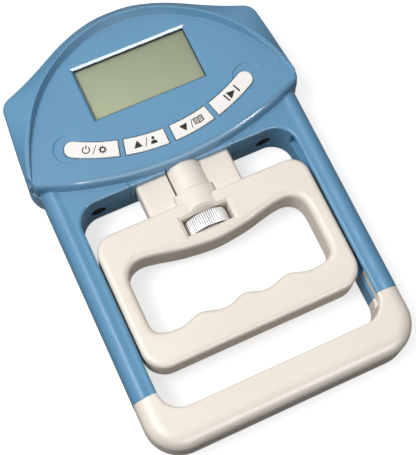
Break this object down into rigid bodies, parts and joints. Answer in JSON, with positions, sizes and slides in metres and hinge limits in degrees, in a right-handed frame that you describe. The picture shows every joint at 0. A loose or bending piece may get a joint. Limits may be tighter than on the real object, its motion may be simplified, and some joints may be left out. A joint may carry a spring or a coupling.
{
  "type": "hand dynamometer",
  "caption": "Electronic grip-strength meter: D-shaped head with display and keys on a U frame, sliding finger handle, knurled wheel that sets the grip distance.",
  "frame": {"origin": "middle of the outline, at the flat back the instrument lies on", "axes": "+X across the width to the right of the display, +Y from the palm grip to the display head, +Z out of the display"},
  "size_m": [0.1296, 0.1928, 0.0327],
  "materials": {
    "blue_plastic": "fine moulded texture, satin",
    "ivory_plastic": "satin",
    "rail_plastic": "low-friction, smooth",
    "key_plastic": "satin",
    "black_plastic": "satin",
    "clear_window": "clear acrylic",
    "display_glass": "grey-green liquid crystal panel",
    "seal_rubber": "matte foam",
    "circuit_board": "solder mask",
    "zinc_steel": "zinc plated",
    "black_steel": "black oxide",
    "bar_steel": "cold drawn",
    "cell_aluminium": "milled",
    "gauge_film": "polyimide film",
    "battery_jacket": "printed film",
    "contact_nickel": "nickel plated spring steel",
    "wheel_chrome": "chrome plated, straight knurl"
  },
  "bodies": {
    "housing": {"front_housing": "blue_plastic", "back_housing": "blue_plastic", "neck_bezel": "blue_plastic", "lower_grip_front": "ivory_plastic", "lower_grip_back": "ivory_plastic", "lcd_window": "clear_window", "lcd_gasket": "seal_rubber", "lcd_panel": "display_glass", "main_pcb": "circuit_board", "tact_switches": "black_plastic", "controller_chip": "black_plastic", "pcb_screws": "zinc_steel", "housing_screws": "zinc_steel", "grip_screws": "zinc_steel", "frame_screws": "black_steel", "load_cell_bolts": "zinc_steel", "load_cell_spacers": "zinc_steel", "steel_u_frame": "bar_steel", "load_cell_plate": "bar_steel", "adjusting_screw": "zinc_steel", "jam_nut": "zinc_steel", "load_cell": "cell_aluminium", "strain_gauges": "gauge_film", "battery_tray": "black_plastic", "battery_1": "battery_jacket", "battery_2": "battery_jacket", "battery_contacts": "contact_nickel"},
    "handle": {"handle_front": "ivory_plastic", "handle_back": "ivory_plastic", "guide_block": "ivory_plastic", "column_sleeve": "ivory_plastic", "guide_rails": "black_plastic", "handle_screws": "zinc_steel"},
    "wheel": {"adjusting_wheel": "wheel_chrome"},
    "door": {"battery_door": "blue_plastic"},
    "power_key": {"power_button": "key_plastic", "power_switch_stem": "black_plastic"},
    "up_key": {"up_button": "key_plastic", "up_switch_stem": "black_plastic"},
    "down_key": {"down_button": "key_plastic", "down_switch_stem": "black_plastic"},
    "start_key": {"start_button": "key_plastic", "start_switch_stem": "black_plastic"}
  },
  "joints": [
    {"name": "handle_slide", "type": "slide", "parent": "housing", "child": "handle", "axis": [0, 1, 0], "range_m": [-0.004, 0.011]},
    {"name": "wheel_spin", "type": "hinge", "parent": "handle", "child": "wheel", "pos_m": [0, -0.0104, 0.0143], "axis": [0, 1, 0], "range_deg": [-1440, 3960]},
    {"name": "battery_door_swing", "type": "hinge", "parent": "housing", "child": "door", "pos_m": [0, 0.0646, 0.00105], "axis": [-1, 0, 0], "range_deg": [0, 75]},
    {"name": "power_press", "type": "slide", "parent": "housing", "child": "power_key", "axis": [0, 0, -1], "range_m": [0, 0.0008], "stiffness_N_per_m": 400},
    {"name": "up_press", "type": "slide", "parent": "housing", "child": "up_key", "axis": [0, 0, -1], "range_m": [0, 0.0008], "stiffness_N_per_m": 400},
    {"name": "down_press", "type": "slide", "parent": "housing", "child": "down_key", "axis": [0, 0, -1], "range_m": [0, 0.0008], "stiffness_N_per_m": 400},
    {"name": "start_press", "type": "slide", "parent": "housing", "child": "start_key", "axis": [0, 0, -1], "range_m": [0, 0.0008], "stiffness_N_per_m": 400}
  ],
  "couplings": [
    {"joint": "wheel_spin", "follows": "handle_slide", "rad_per_m": 6283.2}
  ]
}
